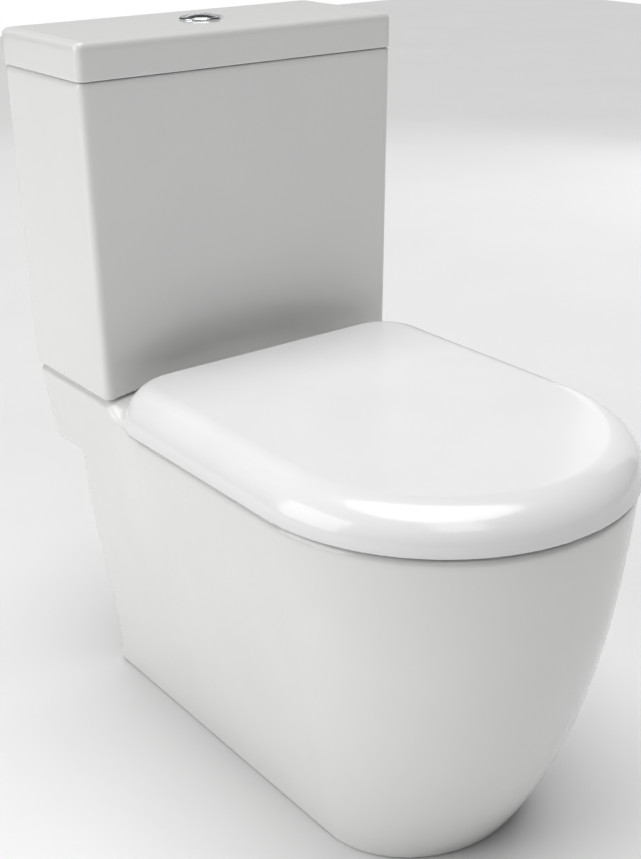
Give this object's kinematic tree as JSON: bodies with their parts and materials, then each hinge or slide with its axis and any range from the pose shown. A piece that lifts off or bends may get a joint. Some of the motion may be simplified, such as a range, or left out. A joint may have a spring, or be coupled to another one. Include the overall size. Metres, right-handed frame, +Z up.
{
  "type": "close coupled toilet",
  "caption": "Shrouded close coupled toilet: tapered china pan, cistern with push buttons, soft close D shaped seat and cover, valves and fixings.",
  "frame": {"origin": "on the floor, at the middle of the footprint", "axes": "+Z up, -Y towards the front of the seat, +Y towards the wall, +X to the left of someone seated"},
  "size_m": [0.4, 0.666, 0.7871],
  "materials": {
    "vitreous_china": "gloss white glaze",
    "duroplast": "gloss white moulded thermoset",
    "chromed_abs": "mirror chrome plating",
    "chromed_hinge": "mirror chrome plating",
    "white_acetal": "moulded white acetal",
    "grey_acetal": "moulded grey acetal",
    "rubber_seals": "black rubber",
    "white_bumpers": "soft off-white elastomer",
    "stainless": "turned stainless steel",
    "nylon_nuts": "natural nylon"
  },
  "bodies": {
    "root": {"pan_skirt": "vitreous_china", "pan_rim": "vitreous_china", "pan_lip": "vitreous_china", "pan_bowl": "vitreous_china", "pan_trap": "vitreous_china", "pan_flush_duct": "vitreous_china", "cistern_tank": "vitreous_china", "flush_valve_body": "white_acetal", "flush_valve_washer": "rubber_seals", "flush_valve_backnut": "white_acetal", "doughnut_washer": "rubber_seals", "rocker_pin": "stainless", "fill_valve_body": "grey_acetal", "fill_valve_head": "white_acetal", "fill_valve_washer": "rubber_seals", "fill_valve_backnut": "white_acetal", "float_lever_pin": "stainless", "coupling_bolts": "stainless", "coupling_head_washers": "rubber_seals", "coupling_plate_washers": "rubber_seals", "coupling_wing_nuts": "nylon_nuts", "tank_support_pads": "rubber_seals", "hinge_posts": "chromed_hinge", "hinge_base_pads": "rubber_seals", "hinge_dampers": "grey_acetal", "hinge_pins": "stainless", "hinge_bolts": "stainless", "hinge_bolt_washers": "rubber_seals", "hinge_wing_nuts": "nylon_nuts"},
    "lid": {"cistern_lid": "vitreous_china", "button_bezel": "chromed_abs", "button_nut": "white_acetal"},
    "full_push": {"full_flush_button": "chromed_abs", "full_flush_rod": "white_acetal"},
    "half_push": {"half_flush_button": "chromed_abs", "half_flush_rod": "white_acetal"},
    "half_plunger": {"half_flush_plunger": "white_acetal"},
    "spindle": {"flush_spindle": "white_acetal", "flush_seal": "rubber_seals"},
    "rocker": {"rocker_lever": "white_acetal"},
    "float": {"float_cup": "grey_acetal", "float_link": "white_acetal"},
    "float_arm": {"float_lever": "white_acetal"},
    "seat": {"seat_ring": "duroplast", "seat_bumpers": "white_bumpers"},
    "cover": {"seat_cover": "duroplast", "cover_bumpers": "white_bumpers"}
  },
  "joints": [
    {"name": "lid_lift", "type": "slide", "parent": "root", "child": "lid", "axis": [0, 0, 1], "range_m": [0, 0.15]},
    {"name": "full_flush_press", "type": "slide", "parent": "lid", "child": "full_push", "axis": [0, 0, -1], "range_m": [0, 0.004], "stiffness_N_per_m": 300, "springref_m": -0.003},
    {"name": "half_flush_press", "type": "slide", "parent": "lid", "child": "half_push", "axis": [0, 0, -1], "range_m": [0, 0.004], "stiffness_N_per_m": 300, "springref_m": -0.003},
    {"name": "half_plunger_press", "type": "slide", "parent": "root", "child": "half_plunger", "axis": [0, 0, -1], "range_m": [0, 0.004]},
    {"name": "rocker_tilt", "type": "hinge", "parent": "root", "child": "rocker", "pos_m": [0, 0.246, 0.668], "axis": [0, -1, 0], "range_deg": [0, 21.3]},
    {"name": "spindle_lift", "type": "slide", "parent": "root", "child": "spindle", "axis": [0, 0, 1], "range_m": [0, 0.005]},
    {"name": "float_rise", "type": "slide", "parent": "root", "child": "float", "axis": [0, 0, 1], "range_m": [0, 0.01]},
    {"name": "float_arm_tilt", "type": "hinge", "parent": "root", "child": "float_arm", "pos_m": [0.13, 0.24, 0.654], "axis": [-1, 0, 0], "range_deg": [0, 19]},
    {"name": "seat_hinge", "type": "hinge", "parent": "root", "child": "seat", "pos_m": [0, 0.135, 0.42], "axis": [1, 0, 0], "range_deg": [-91, 0]},
    {"name": "cover_hinge", "type": "hinge", "parent": "seat", "child": "cover", "pos_m": [0, 0.135, 0.42], "axis": [-1, 0, 0], "range_deg": [0, 91]}
  ],
  "couplings": [
    {"joint": "rocker_tilt", "follows": "full_flush_press", "rad_per_m": 92.5},
    {"joint": "spindle_lift", "follows": "full_flush_press", "ratio": 1.25},
    {"joint": "half_plunger_press", "follows": "half_flush_press", "ratio": 1},
    {"joint": "float_arm_tilt", "follows": "float_rise", "rad_per_m": 33}
  ]
}
